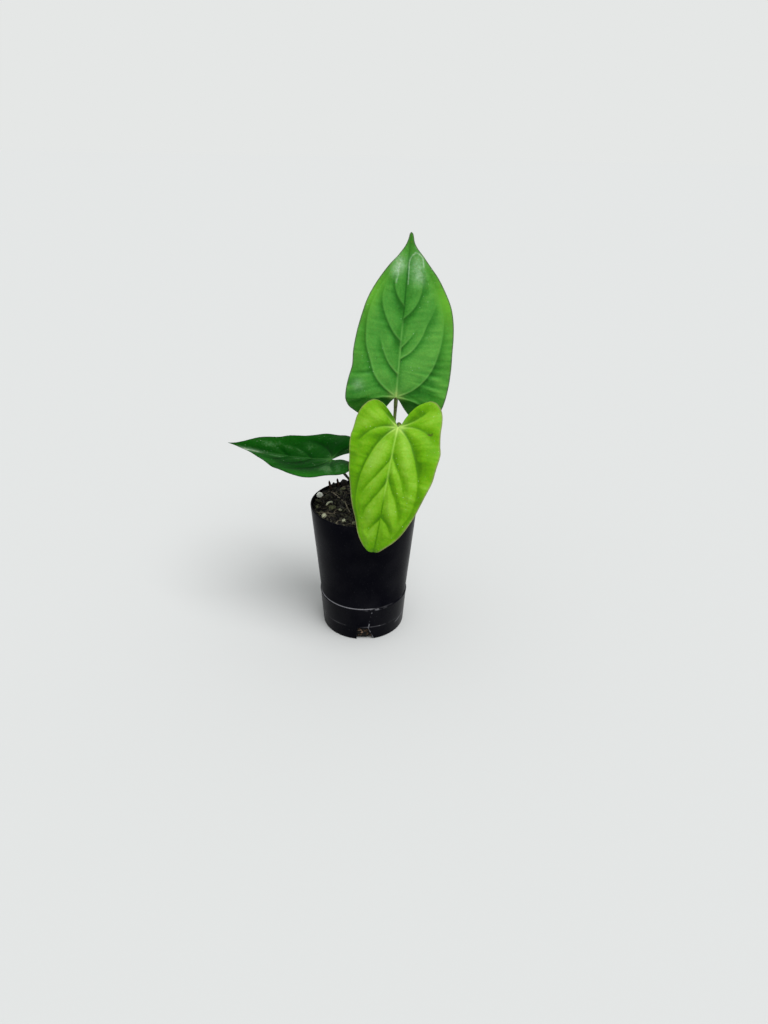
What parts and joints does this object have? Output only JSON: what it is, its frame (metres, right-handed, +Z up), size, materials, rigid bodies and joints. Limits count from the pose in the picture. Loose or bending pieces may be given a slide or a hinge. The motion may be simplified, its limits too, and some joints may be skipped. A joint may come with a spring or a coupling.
{
  "type": "potted anthurium",
  "caption": "Young aroid house plant with heart-shaped leaves on thin stalks, standing in bark potting mix in a black plastic nursery tube pot",
  "frame": {"origin": "centre of the pot's underside, on the surface it stands on", "axes": "+Z up along the pot's axis, +X to the right and +Y away from the front that the lime leaf hangs over"},
  "size_m": [0.1735, 0.1033, 0.3085],
  "materials": {
    "pot_plastic": "satin",
    "mix": "matte",
    "stem_tissue": "matte",
    "dry_sheath": "matte",
    "stalk_tissue": "satin",
    "leaf_mid": "satin",
    "leaf_young": "satin",
    "leaf_old": "satin",
    "perlite": "matte",
    "bark": "matte",
    "root": "matte"
  },
  "bodies": {
    "root": {"pot": "pot_plastic", "potting_mix": "mix", "stem": "stem_tissue", "cataphyll": "dry_sheath", "stalk_upright": "stalk_tissue", "stalk_front": "stalk_tissue", "stalk_side": "stalk_tissue", "blade_upright": "leaf_mid", "blade_front": "leaf_young", "blade_side": "leaf_old", "perlite_1": "perlite", "perlite_2": "perlite", "perlite_3": "perlite", "bark_chip_1": "bark", "bark_chip_2": "bark", "bark_chip_3": "bark", "bark_chip_4": "bark", "bark_chip_5": "bark", "bark_chip_6": "bark", "bark_chip_7": "bark", "bark_chip_8": "bark", "bark_chip_9": "bark", "bark_chip_10": "bark", "bark_chip_11": "bark", "bark_chip_12": "bark", "bark_chip_13": "bark", "bark_splinter_1": "bark", "bark_splinter_2": "bark", "loose_root_1": "root", "loose_root_2": "root", "bark_curl": "bark"}
  },
  "joints": []
}
